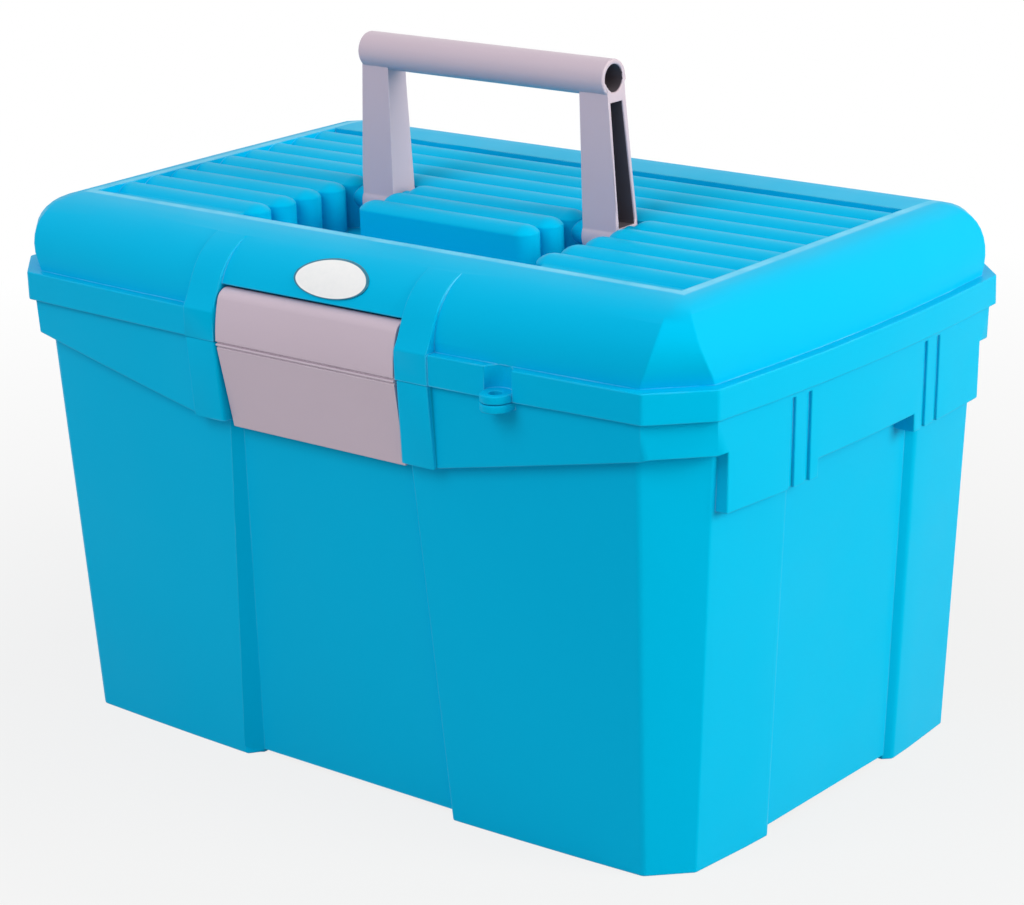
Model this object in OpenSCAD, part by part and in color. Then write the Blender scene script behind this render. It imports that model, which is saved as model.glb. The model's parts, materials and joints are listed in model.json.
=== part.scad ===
// Horse grooming box: a drafted plastic bin with a hinged lid, a front latch,
// a folding carry handle and a lift-out tray.
// Millimetres, +Z up. The origin is on the floor, under the middle of the rim.
// X runs along the length, and the latch side faces -Y.

/* [Box] */
// Overall length over the bowed ends of the rim flange
box_l = 400; // [360:1:440]
// Overall width over the bowed front and back of the rim flange
box_w = 258; // [240:1:280]
// How far each end bows outwards
end_bow = 5; // [3:0.5:7]
// How far the front and the back bow outwards
side_bow = 4.5; // [3:0.5:6]
// Leg of the chamfer on the upright corners
corner = 21.5; // [16:0.5:26]
// Height of the bin's rim, where the lid parts from it
rim_z = 199; // [185:1:215]
// Wall thickness of the mouldings
wall = 2.6; // [2.2:0.1:3]

/* [Bin] */
// Length of the base over its bowed ends
base_l = 360; // [350:1:368]
// Width of the base over its bowed front and back
base_w = 230; // [222:1:236]
// Leg of the chamfer on the corners at the base
base_corner = 15.5; // [12:0.5:20]
// Height of the four corner feet
foot_h = 1.8; // [1:0.1:3]
// How far the bin's wall lies inside the flange at the rim
neck_inset = 6.5; // [5.5:0.1:8]
// Half width of the sunk front panel at the base
front_panel = 56.5; // [50:0.5:60]
// How much narrower each side of the front panel is at its top
panel_lean = 8; // [4:0.5:12]
// Depth of the front panel at the base
front_panel_d = 6.5; // [5:0.1:8]
// Depth of the front panel at its top
front_panel_top_d = 4; // [3:0.1:5]
// Half width of the sunk end panels
end_panel = 45; // [40:0.5:48]
// Depth of the end panels
end_panel_d = 5; // [3.5:0.1:6]
// Width of the slanted sides of the sunk panels
panel_slant = 5; // [3:0.5:7]
// Height of the tongue on the rim that the lid closes over
tongue_h = 4; // [3:0.1:5]

/* [Collar] */
// How far the collar under the flange lies inside the flange
collar_inset = 2.2; // [1.5:0.1:3]
// How much the collar draws in towards its lower edge
collar_draft = 1.5; // [0.5:0.1:2.5]
// Height of the collar beside the latch column
collar_mid_h = 36; // [30:0.5:40]
// Height of the collar at the corners
collar_corner_h = 15; // [12:0.5:20]
// Height of the deep pads on the end collar
pad_h = 40.5; // [38:0.5:46]
// Height of the end collar between the pads
pad_gap_h = 32.5; // [28:0.5:36]
// Distance from the middle to the inner side of an end pad
pad_in = 36; // [30:0.5:39]
// Distance from the middle to the outer side of an end pad
pad_out = 94; // [80:0.5:98]
// Distance from the middle to the first groove of a pad
groove_y = 43.5; // [42:0.5:48]
// Spacing of the two grooves of a pad
groove_pitch = 10.5; // [8:0.5:14]
// Width of a groove
groove_w = 3.2; // [2:0.1:4]
// Depth of a groove
groove_d = 1.6; // [1:0.1:1.8]

/* [Lid] */
// Height of the flange band round the lid
flange_h = 13; // [11:0.5:16]
// Width of the ledge on top of the flange
ledge = 4.8; // [4:0.1:6]
// Thickness of the flange's skirt
skirt = 2; // [1.6:0.1:2.4]
// Height of the lid above its flange
dome_h = 31; // [29:0.1:34]
// How far the lid's front and back roll in towards the top
side_roll = 34.2; // [32:0.1:35]
// How far the lid's ends roll in towards the top
end_roll = 25.7; // [22:0.1:26.5]
// Leg of the corner chamfer where it runs out at the top
top_corner = 5; // [3:0.5:8]
// Width of the flat rim round the ribbed field
rim_land = 4.5; // [3.5:0.1:5.5]
// Depth of the ribbed field under the rim
field_d = 3.5; // [3:0.1:4.5]
// Number of ribs on the field
ribs = 9; // [5:2:9]
// Spacing of the ribs
rib_pitch = 16.4; // [16:0.1:18]
// Width of a rib
rib_w = 14.6; // [13:0.1:15.4]
// Height of a rib
rib_h = 3.3; // [2.5:0.1:3.5]

/* [Front column] */
// Half width of the raised column that carries the latch
column = 69; // [66:0.5:72]
// How far the column's lower edge draws in
column_draft = 2.6; // [1.5:0.1:3.2]
// How far the column's rails stand out of the lid's roll
rail_out = 1.2; // [0.8:0.1:1.8]
// Length of the bare oval badge
badge_l = 41; // [30:0.5:46]
// Height of the bare oval badge, measured straight up
badge_h = 14; // [10:0.5:15.5]
// Thickness of the badge
badge_t = 0.8; // [0.5:0.1:1.5]
// Distance from the middle of the column to the middle of the badge
badge_x = 8; // [-10:0.5:10]

/* [Latch] */
// Half width of the latch
latch = 50.7; // [46:0.1:53]
// How much narrower each side of the latch is at its lower edge
latch_lean = 1.4; // [0.5:0.1:3]
// Length of the latch under the parting line
latch_drop = 39; // [37:0.5:44]
// Room for a fingertip behind the flap's lower edge
flap_gap = 2.3; // [1.5:0.1:4]
// Height of the latch pivot above the parting line
latch_pivot_h = 17; // [15:0.1:19]
// Distance of the latch pivot behind the flange's front
latch_pivot_d = 8.5; // [8:0.1:10]
// Radius of the latch's barrel
barrel_r = 6; // [5:0.1:6.5]
// Thickness of the latch
latch_t = 2.6; // [2:0.1:3]
// Height of the ridge across the latch at the parting line
ridge_h = 1; // [0.6:0.1:2]
// Width of the grooves above and below the ridge
ridge_groove = 0.8; // [0.5:0.1:1.2]
// Depth of these grooves
ridge_groove_d = 1.1; // [0.6:0.1:1.4]
// Half width of the catch behind the latch
catch_half = 22; // [15:1:30]
// Height of the catch
catch_h = 4; // [3:0.1:6]
// Distance from the parting line down to the catch's lower face
catch_drop = 21.5; // [18:0.5:24]
// How far the catch stands out of its channel
catch_d = 2.6; // [2:0.1:3]
// How far the hook reaches under the catch
hook_reach = 1.2; // [0.8:0.1:1.6]

/* [Handle] */
// Height of the grip's axis above the handle's pivot
handle_h = 69.6; // [66:0.1:72]
// Half length of the grip
grip_half = 69.4; // [68:0.1:71]
// Outer radius of the grip
grip_r = 8.2; // [7.8:0.1:8.8]
// Radius of the bore in the grip
grip_bore_r = 6; // [5:0.1:6.4]
// Depth of the bore from each end of the grip
grip_bore_d = 58; // [20:1:66]
// Width of a leg under the grip
leg_w = 15; // [13:0.5:16]
// How far a leg flares out towards its pivot
leg_flare = 3.5; // [0:0.5:5]
// Distance from the pivot to the front of a leg
leg_front = 7.2; // [6.5:0.1:8]
// Distance from the pivot to the back of a leg at the pivot
leg_back = 8.4; // [7.5:0.1:8.6]
// Distance from the pivot to the back of a leg under the grip
leg_back_top = 5; // [4:0.1:6.5]
// How far the grip leans forward of the pivot
grip_lean = 2; // [0:0.1:3]
// Skin left round the cored side of a leg
leg_skin = 2.2; // [2:0.1:3]
// Depth of the handle pivot under the top of the lid
handle_pivot_d = 9.3; // [9.2:0.1:11]
// Diameter of the two handle pins
handle_pin = 6; // [5:0.1:7]
// Half length of the handle pocket
pocket = 78; // [76:0.5:80]
// Distance from the pivot to the front of the pocket
pocket_front = 84.5; // [81:0.5:85]
// Number of ribs on the block between the legs, in front of the pivot
block_ribs = 2; // [1:1:2]
// Half width of the block between the legs
block_half = 49.5; // [46:0.5:51]
// Depth of the pocket's floor under the handle pivot
pocket_d = 14; // [12.5:0.5:18]

/* [Hinge] */
// Distance from the middle to each hinge
hinge_x = 105; // [90:1:130]
// Length of a hinge
hinge_l = 56; // [44:1:70]
// Length of each knuckle on the bin
knuckle_l = 14; // [10:0.5:16]
// Radius of the knuckles
knuckle_r = 5; // [4.5:0.1:5.4]
// Distance of the hinge axis behind the flange
hinge_out = 5; // [4.6:0.1:7]
// Diameter of the hinge rods and the latch rod
rod_d = 4; // [3:0.1:5]

/* [Padlock eye] */
// Distance from the middle to the padlock eye
eye_x = 105; // [95:1:118]
// Radius of the eye's ears
eye_r = 6.6; // [6:0.1:7.2]
// Radius of the hole through the ears
eye_hole_r = 2.9; // [2.5:0.1:3.1]
// Thickness of each ear
eye_t = 3.5; // [2.5:0.1:5]
// How far the ears stand out of the flange
eye_out = 6.4; // [6:0.1:7]
// Radius of the finger notch over the eye
notch_r = 7.2; // [7:0.1:9]

/* [Tray] */
// Depth of the lift-out tray
tray_d = 46; // [30:1:60]
// Wall thickness of the tray
tray_wall = 2; // [1.6:0.1:2.6]
// Thickness of the rim that the tray hangs by
tray_rim_t = 2.2; // [1.8:0.1:3]
// How far the tray's walls draw in towards its floor
tray_draft = 5; // [3:0.5:8]
// Distance from the middle to each divider
tray_divider_x = 62; // [30:1:90]
// Depth of the ledge that the tray hangs on, under the bin's rim
tray_ledge_d = 15; // [12:0.5:20]

/* [Fits] */
// Gap at the parting line, and under pieces that rest on each other
rest_gap = 0.3; // [0.2:0.05:0.5]
// Gap at each side of the latch
latch_gap = 1; // [0.6:0.1:1.5]
// Gap round the latch's barrel, behind its flap and under its hook
swing_gap = 0.8; // [0.6:0.1:1.2]
// Gap between the handle's legs and their bosses
leg_gap = 0.4; // [0.3:0.05:0.8]
// Gap between neighbouring knuckles
knuckle_gap = 0.5; // [0.3:0.05:1]
// Gap from the bin's tongue to the lid's skirt
tongue_gap = 0.8; // [0.6:0.1:1.2]
// Gap from the tray to the walls beside it
tray_gap = 0.8; // [0.5:0.1:1.5]
// Extra diameter of a hole that holds a pin still
held_fit = 0.04; // [0.02:0.01:0.06]
// Extra diameter of a hole that turns on a pin
running_fit = 0.12; // [0.06:0.02:0.16]

/* [Hidden] */
$fn = 64;

blue = [0.06, 0.65, 0.86];
grey = [0.71, 0.67, 0.73];
steel = [0.75, 0.76, 0.78];
side_steps = 10;
end_steps = 6;
over = 1;
// Shares of the dome's height at which its sections lie, closer together towards the top
dome_steps = 12;
dome_levels = [for (i = [0:dome_steps]) sin(90 * i / dome_steps)];
// Share of the dome's height at which the rails end
rail_top = 0.93;
// Powers of the curves that shape the lid's front roll, its ends and its rails
front_square = 2.3;
end_lean = 1.5;
end_square = 2.2;
rail_fade = 6;
// Share of the bow that is lost at the top of the lid
bow_loss = 0.8;

half_l = box_l / 2;
half_w = box_w / 2;
base_half_l = base_l / 2;
base_half_w = base_w / 2;
neck_half_l = half_l - neck_inset;
neck_half_w = half_w - neck_inset;
rim_in_l = half_l - collar_inset - wall;
rim_in_w = half_w - collar_inset - wall;
floor_z = foot_h + wall;
collar_mid_z = rim_z - collar_mid_h;
collar_corner_z = rim_z - collar_corner_h;
pad_z = rim_z - pad_h;
pad_gap_z = rim_z - pad_gap_h;
collar_low_z = min(pad_z, collar_mid_z);
tray_ledge_z = rim_z - tray_ledge_d;

lid_z = rim_z + rest_gap;
flange_top = lid_z + flange_h;
lid_top = flange_top + dome_h;
dome_half_l = half_l - ledge;
dome_half_w = half_w - ledge;
crown_half_l = dome_half_l - end_roll;
crown_half_w = dome_half_w - side_roll;
field_half_l = crown_half_l - rim_land;
field_front = crown_half_w - rim_land;
field_z = lid_top - field_d;
crest_z = field_z + rib_h;
rib_r = (rib_w * rib_w / 4 + rib_h * rib_h) / (2 * rib_h);
rib_nose = rib_w / 2;
rib_last = (ribs - 1) / 2;
field_back = rib_last * rib_pitch + rib_nose + (rib_pitch - rib_w);

// Face of the bin's wall at the top of the front panel, and the channel that carries it on up
front_face_top = base_half_w + (neck_half_w - base_half_w) * collar_mid_z / rim_z;
channel_face = front_face_top - front_panel_top_d;
end_face_top = base_half_l + (neck_half_l - base_half_l) * pad_gap_z / rim_z;
channel_half = latch + latch_gap;

latch_pivot_y = -(half_w - latch_pivot_d);
latch_pivot_z = rim_z + latch_pivot_h;
latch_low_z = rim_z - latch_drop;
// Radius at which the latch's rolled cover runs into its barrel without a crease
latch_roll_r = (pow(latch_pivot_d, 2) + pow(latch_pivot_h, 2) - pow(barrel_r, 2))
    / (2 * (latch_pivot_d - barrel_r));
latch_roll_top_z = rim_z + latch_roll_r * latch_pivot_h / (latch_roll_r - barrel_r);
ridge_top_z = rim_z + ridge_h / 2;
flap_top_z = ridge_top_z - 2 * ridge_groove - ridge_h;
flap_step = ridge_groove_d / 2;
// How far the flap draws in towards its lower edge
flap_lean = half_w - latch_t - flap_gap - channel_face;
lid_pocket_face = -latch_pivot_y - barrel_r - swing_gap;
lid_pocket_z = latch_pivot_z + barrel_r + swing_gap;
latch_rod_half = channel_half + wall;
catch_z = rim_z - catch_drop;

handle_pivot_z = lid_top - handle_pivot_d;
pocket_z = handle_pivot_z - pocket_d;
pocket_back = rib_pitch / 2 + over;
leg_out = grip_half;
leg_in = leg_out - leg_w;
handle_pin_in = block_half - wall;
handle_pin_out = pocket + wall;
boss_r = handle_pin / 2 + wall;

hinge_y = half_w + hinge_out;
hinge_z = rim_z;
eye_y = -(half_w + eye_out - eye_r);

tray_z = tray_ledge_z + rest_gap;
tray_half_l = rim_in_l - tray_gap;
tray_half_w = lid_pocket_face - 2 * wall - tray_gap;
tray_body_half_l = end_face_top - end_panel_d - wall - tray_gap;
tray_bow = side_bow / 4;

// Outline in plan: four bowed sides joined by straight chamfers.
// The half sizes are taken at the crown of each bow.
function plan(hl, hw, bow_l, bow_w, cut) =
    let (x1 = hl - bow_l - cut, y1 = hw - bow_w - cut)
    concat(
        [for (i = [0:side_steps]) let (t = 2 * i / side_steps - 1) [t * x1, bow_w * t * t - hw]],
        [for (i = [0:end_steps]) let (t = 2 * i / end_steps - 1) [hl - bow_l * t * t, t * y1]],
        [for (i = [0:side_steps]) let (t = 1 - 2 * i / side_steps) [t * x1, hw - bow_w * t * t]],
        [for (i = [0:end_steps]) let (t = 1 - 2 * i / end_steps) [bow_l * t * t - hl, t * y1]]);

// Solid through a stack of sections, each [height, points] with as many points
module loft(sections) {
    n = len(sections[0][1]);
    m = len(sections);
    points = [for (s = sections) for (p = s[1]) [p[0], p[1], s[0]]];
    sides = [for (j = [0:m - 2]) for (i = [0:n - 1]) let (a = j * n + i, b = j * n + (i + 1) % n)
        each [[a, a + n, b + n], [a, b + n, b]]];
    polyhedron(points, concat([[for (i = [0:n - 1]) i]], sides, [[for (i = [n - 1:-1:0]) (m - 1) * n + i]]));
}

// Bar along X with the given outline, whose points are [distance to the front, height]
module front_bar(x0, x1, outline) {
    translate([x0, 0, 0]) rotate([90, 0, 90]) linear_extrude(x1 - x0)
        polygon([for (p = outline) [-p[0], p[1]]]);
}

// Plate along Y with the given outline, whose points are [x, height]
module front_plate(y0, y1, outline) {
    translate([0, y1, 0]) rotate([90, 0, 0]) linear_extrude(y1 - y0) polygon(outline);
}

module rod_x(x0, x1, y, z, d) {
    translate([x0, y, z]) rotate([0, 90, 0]) cylinder(d = d, h = x1 - x0);
}

module box_between(a, b) {
    translate(a) cube(b - a);
}

// Wedge that sinks a panel into a drafted wall. Grown by the wall, it is the panel's back.
module panel_cut(half_low, half_high, face_low, face_high, deep_low, deep_high, top, grow) {
    reach = half_l;
    wedge = function (half, face, deep)
        [[-half - grow - panel_slant * reach / deep, -face - reach],
         [half + grow + panel_slant * reach / deep, -face - reach],
         [half + grow, deep + grow - face], [-half - grow, deep + grow - face]];
    loft([[-over, wedge(half_low, face_low, deep_low)],
          [top + grow, wedge(half_high, face_high, deep_high)]]);
}

module sunk_panels(grow) {
    for (turn = [0, 180]) rotate(turn)
        panel_cut(front_panel, front_panel - panel_lean, base_half_w, front_face_top,
                  front_panel_d, front_panel_top_d, collar_mid_z + over, grow);
    for (turn = [90, 270]) rotate(turn)
        panel_cut(end_panel, end_panel, base_half_l, end_face_top,
                  end_panel_d, end_panel_d, pad_gap_z + over, grow);
}

module bin_wall() {
    difference() {
        loft([[0, plan(base_half_l, base_half_w, end_bow, side_bow, base_corner)],
              [rim_z, plan(neck_half_l, neck_half_w, end_bow, side_bow, corner)]]);
        sunk_panels(0);
        box_between([-front_panel, -half_w, -over], [front_panel, half_w, foot_h]);
        box_between([-half_l, -end_panel, -over], [half_l, end_panel, foot_h]);
    }
}

// Collar round the rim. Its lower edge falls towards the latch column on the long
// sides and has two deep pads on each end.
module collar() {
    low = collar_inset + collar_draft;
    side_x = half_l - end_bow - corner;
    intersection() {
        loft([[collar_low_z, plan(half_l - low, half_w - low, end_bow, side_bow, corner)],
              [rim_z, plan(half_l - collar_inset, half_w - collar_inset, end_bow, side_bow, corner)]]);
        union() {
            front_plate(-half_w, half_w, [[-side_x, collar_corner_z], [-column, collar_mid_z],
                [column, collar_mid_z], [side_x, collar_corner_z], [side_x, rim_z], [-side_x, rim_z]]);
            rotate(90) front_plate(-half_l, half_l, [[-pad_out, pad_z], [-pad_in, pad_z],
                [-pad_in, pad_gap_z], [pad_in, pad_gap_z], [pad_in, pad_z], [pad_out, pad_z],
                [pad_out, rim_z], [-pad_out, rim_z]]);
            box_between([-half_l, -half_w, collar_corner_z], [half_l, half_w, rim_z]);
        }
    }
}

// Upright grooves in the pads, which lean with the collar's draft
module pad_grooves() {
    run = rim_z - collar_low_z;
    lean = atan(collar_draft / run);
    for (side = [-1, 1], y = [groove_y, groove_y + groove_pitch], end = [0, 1]) mirror([end, 0, 0]) {
        bow = end_bow * pow(y / (half_w - side_bow - corner), 2);
        face = half_l - collar_inset - collar_draft - bow;
        translate([face - groove_d, side * y - groove_w / 2, collar_low_z]) rotate([0, lean, 0])
            translate([0, 0, -over]) cube([2 * wall, groove_w, run - collar_inset + over]);
    }
}

// Tongue on the rim that the lid's skirt closes over. It stops short of the latch's pocket
// and of the padlock eye.
module tongue() {
    out = skirt + tongue_gap;
    pocket_side = channel_half + 2 * wall + tongue_gap;
    difference() {
        translate([0, 0, rim_z - over]) linear_extrude(tongue_h + over)
            polygon(plan(half_l - out, half_w - out, end_bow, side_bow, corner));
        box_between([-pocket_side, -half_w, rim_z],
                    [pocket_side, 2 * wall - lid_pocket_face, rim_z + tongue_h + over]);
        eye_notch(wall + tongue_gap, rim_z, rim_z + tongue_h + over);
    }
}

// Hollow of the bin, wider above the ledge that the tray hangs on
module bin_hollow() {
    difference() {
        union() {
            loft([[floor_z, plan(base_half_l - wall, base_half_w - wall, end_bow, side_bow, base_corner)],
                  [rim_z, plan(neck_half_l - wall, neck_half_w - wall, end_bow, side_bow, corner)]]);
            translate([0, 0, tray_ledge_z]) linear_extrude(rim_z - tray_ledge_z + tongue_h + over)
                polygon(plan(rim_in_l, rim_in_w, end_bow, side_bow, corner));
        }
        sunk_panels(wall);
        box_between([-channel_half - wall, -half_w, collar_mid_z - wall],
                    [channel_half + wall, wall - channel_face, rim_z + tongue_h + 2 * over]);
    }
}

// Channel for the latch, open at the front and through the rim
module latch_channel() {
    lean = latch_lean * (rim_z - collar_mid_z) / latch_drop;
    front_plate(-half_w - over, -channel_face,
        [[lean - channel_half, collar_mid_z - over], [channel_half - lean, collar_mid_z - over],
         [channel_half, rim_z], [channel_half, rim_z + over],
         [-channel_half, rim_z + over], [-channel_half, rim_z]]);
}

// Ear of the padlock eye, and the hole through it
module eye(z) {
    translate([eye_x, eye_y, z]) cylinder(r = eye_r, h = eye_t);
    box_between([eye_x - eye_r, eye_y, z], [eye_x + eye_r, notch_r - half_w, z + eye_t]);
}

// Upright round notch over the eye. Grown by the wall, it is the notch's back.
module eye_notch(grow, low, high) {
    translate([eye_x, -half_w, low]) cylinder(r = notch_r + grow, h = high - low);
}

module eye_hole() {
    translate([eye_x, eye_y, rim_z - eye_t - over]) cylinder(r = eye_hole_r, h = flange_h + eye_t);
}

// How far the bowed back lies behind its crown at the distance x from the middle
function back_bow(x) = side_bow * pow(x / (half_l - end_bow - corner), 2);

// Knuckle on the bin or on the lid, with the web that carries it
module knuckle(x0, x1, web_y, web_low, web_high) {
    rod_x(x0, x1, hinge_y, hinge_z, 2 * knuckle_r);
    box_between([x0, web_y, web_low], [x1, hinge_y, web_high]);
}

module bin() {
    end = hinge_l / 2;
    web_y = half_w - collar_inset - wall / 2 - back_bow(hinge_x + end);
    color(blue) difference() {
        union() {
            difference() {
                union() {
                    bin_wall();
                    collar();
                    front_bar(-column, column, [[half_w, rim_z], [half_w - column_draft, collar_mid_z],
                        [channel_face, collar_mid_z], [channel_face, rim_z]]);
                    tongue();
                    eye(rim_z - eye_t);
                }
                bin_hollow();
                latch_channel();
                pad_grooves();
            }
            front_bar(-catch_half, catch_half, [[channel_face - over, catch_z],
                [channel_face + catch_d, catch_z], [channel_face + catch_d, catch_z + catch_h / 2],
                [channel_face, catch_z + catch_h], [channel_face - over, catch_z + catch_h]]);
            for (side = [-1, 1]) translate([side * hinge_x, 0, 0]) {
                knuckle(-end, knuckle_l - end, web_y, hinge_z - knuckle_r, rim_z);
                knuckle(end - knuckle_l, end, web_y, hinge_z - knuckle_r, rim_z);
            }
        }
        for (side = [-1, 1]) translate([side * hinge_x, 0, 0])
            rod_x(-end - over, end + over, hinge_y, hinge_z, rod_d + held_fit);
        eye_hole();
    }
}

// Half width of the lid's front at a share t of the dome's height: a full round roll
function front_roll(t) = crown_half_w + side_roll * pow(1 - t * t, 1 / front_square);

// Half length of the lid's ends at a share t of the dome's height: a leaning face with a rounded top
function end_roll_at(t) = crown_half_l + end_roll * pow(1 - pow(t, end_lean), 1 / end_square);

// How far the column's rails stand out: level with the flange below, fading out at the top
function rail_at(t) = rail_out * (1 - pow(t, rail_fade)) + (ledge - rail_out) * pow(1 - t, rail_fade);

function dome_section(t, inset) =
    plan(end_roll_at(t) - inset, front_roll(t) - inset, end_bow * (1 - bow_loss * t),
         side_bow * (1 - bow_loss * t), corner + (top_corner - corner) * t);

module dome(grow) {
    loft([for (t = dome_levels) [flange_top + dome_h * t - (t == 0 ? over : 0), dome_section(t, -grow)]]);
}

// Two rails that carry the column on up the lid's front, with the latch between them
module lid_rails() {
    outline = concat([[crown_half_w, lid_z], [half_w, lid_z]],
        [for (t = dome_levels) if (t <= rail_top) [front_roll(t) + rail_at(t), flange_top + dome_h * t]],
        [[crown_half_w, flange_top + rail_top * dome_h]]);
    for (side = [0, 1]) mirror([side, 0, 0]) front_bar(channel_half, column, outline);
}

// Plan of a rib with a round nose at each end
module rib_plan(x0, x1, y, w) {
    translate([x0 + w / 2, y - w / 2]) square([x1 - x0 - w, w]);
    for (x = [x0 + w / 2, x1 - w / 2]) translate([x, y]) circle(d = w);
}

// Rounded lobe along X with a domed nose at each end
module rib(x0, x1, y) {
    intersection() {
        union() {
            rod_x(x0 + rib_nose, x1 - rib_nose, y, crest_z - rib_r, 2 * rib_r);
            for (x = [x0 + rib_nose, x1 - rib_nose]) translate([x, y, crest_z - rib_r]) sphere(r = rib_r);
        }
        translate([0, 0, field_z - over]) linear_extrude(rib_h + 2 * over) rib_plan(x0, x1, y, rib_w);
    }
}

// Ribs behind the handle run right across, into the rim. Those beside it stop at its pocket,
// and the block between its legs carries short ones.
module rib_field() {
    rim_end = field_half_l + rib_nose;
    for (k = [-rib_last:rib_last]) {
        y = k * rib_pitch;
        if (k > 0) {
            rib(-rim_end, rim_end, y);
        } else {
            for (side = [0, 1]) mirror([side, 0, 0]) rib(pocket, rim_end, y);
            if (k >= -block_ribs) rib(-block_half, block_half, y);
        }
    }
}

// Plan of the ribs whose noses stand in the handle pocket, drawn in by the inset
module nose_plan(inset) {
    for (k = [-rib_last:0]) {
        y = k * rib_pitch;
        for (side = [0, 1]) mirror([side, 0]) rib_plan(pocket + inset, field_half_l, y, rib_w - 2 * inset);
        if (k >= -block_ribs) rib_plan(inset - block_half, block_half - inset, y, rib_w - 2 * inset);
    }
}

// Plan of the U-shaped handle pocket, whose walls follow the noses of the ribs.
// Grown by the wall, it is the pocket's outside.
module pocket_plan(grow) {
    block_line = block_ribs * rib_pitch;
    long = pocket + rib_nose + grow;
    block = block_half - rib_nose - grow;
    difference() {
        union() {
            translate([-long, -pocket_front - grow])
                square([2 * long, pocket_front - block_line + 2 * grow]);
            for (side = [0, 1]) mirror([side, 0]) translate([block, -block_line - over])
                square([long - block, block_line + over + pocket_back + grow]);
        }
        nose_plan(grow);
    }
}

module handle_bosses() {
    for (side = [0, 1]) mirror([side, 0, 0]) {
        rod_x(block_half - rib_nose, leg_in - leg_gap, 0, handle_pivot_z, 2 * boss_r);
        rod_x(leg_out + leg_flare + leg_gap, pocket + rib_nose, 0, handle_pivot_z, 2 * boss_r);
    }
}

// Hollow of the lid, stepped out inside the flange
module lid_hollow() {
    difference() {
        union() {
            translate([0, 0, lid_z - over]) linear_extrude(flange_h - wall + over)
                polygon(plan(half_l - skirt, half_w - skirt, end_bow, side_bow, corner));
            loft([for (t = dome_levels) let (z = flange_top + dome_h * t - (t == 0 ? wall + over : 0))
                if (z < field_z - wall - over) [z, dome_section(t, wall)],
                [field_z - wall, dome_section((field_z - flange_top) / dome_h, wall)]]);
        }
        translate([0, 0, pocket_z - wall]) linear_extrude(lid_top) pocket_plan(wall);
        box_between([-channel_half - 2 * wall, -half_w, lid_z - 2 * over],
                    [channel_half + 2 * wall, wall - lid_pocket_face, lid_pocket_z + wall]);
        eye_notch(wall, lid_z - 2 * over, flange_top + wall);
    }
}

// Pocket in the lid for the latch's barrel. Its lip slopes, so the latch can swing right up.
module latch_pocket() {
    front = half_w + over;
    front_bar(-channel_half, channel_half, [[lid_pocket_face, lid_z - over], [front, lid_z - over],
        [front, lid_pocket_z + (front + latch_pivot_y) / 2], [-latch_pivot_y, lid_pocket_z],
        [lid_pocket_face, lid_pocket_z]]);
}

module lid() {
    end = hinge_l / 2 - knuckle_l - knuckle_gap;
    web_y = half_w - skirt / 2 - back_bow(hinge_x + end);
    color(blue) difference() {
        union() {
            difference() {
                union() {
                    difference() {
                        union() {
                            translate([0, 0, lid_z]) linear_extrude(flange_h)
                                polygon(plan(half_l, half_w, end_bow, side_bow, corner));
                            dome(0);
                            lid_rails();
                        }
                        box_between([-field_half_l, -field_front, field_z],
                                    [field_half_l, field_back, lid_top + over]);
                        eye_notch(0, lid_z - over, flange_top);
                    }
                    rib_field();
                    eye(lid_z);
                }
                lid_hollow();
                translate([0, 0, pocket_z]) linear_extrude(lid_top) pocket_plan(0);
                latch_pocket();
            }
            handle_bosses();
            for (side = [-1, 1]) translate([side * hinge_x, 0, 0])
                knuckle(-end, end, web_y, lid_z, hinge_z + knuckle_r);
        }
        for (side = [-1, 1]) translate([side * hinge_x, 0, 0])
            rod_x(-end - over, end + over, hinge_y, hinge_z, rod_d + running_fit);
        rod_x(-latch_rod_half, latch_rod_half, latch_pivot_y, latch_pivot_z, rod_d + held_fit);
        for (side = [0, 1]) mirror([side, 0, 0])
            rod_x(handle_pin_in - over, handle_pin_out + over, 0, handle_pivot_z, handle_pin + held_fit);
        eye_hole();
    }
}

// Outer line of the latch from its barrel to its lower edge: a roll, a ridge between two grooves, a flap
function latch_face(inset) =
    let (face = half_w - inset, groove = face - ridge_groove_d, steps = 8,
         ridge_z = ridge_top_z - ridge_groove, low_z = ridge_z - ridge_h)
    concat(
        [for (i = [0:steps]) let (z = latch_roll_top_z + (ridge_top_z - latch_roll_top_z) * i / steps)
            [face - latch_roll_r + sqrt(pow(latch_roll_r, 2) - pow(z - rim_z, 2)), z]],
        [[groove, ridge_top_z], [groove, ridge_z], [face, ridge_z], [face, low_z], [groove, low_z],
         [groove, flap_top_z], [face - flap_step, flap_top_z], [face - flap_lean, latch_low_z]]);

// Distance of the flap's face from the middle of the box at height z
function flap_face(z) = half_w - flap_step
    - (flap_lean - flap_step) * (flap_top_z - z) / (flap_top_z - latch_low_z);

function reversed(list) = [for (i = [len(list) - 1:-1:0]) list[i]];

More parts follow.
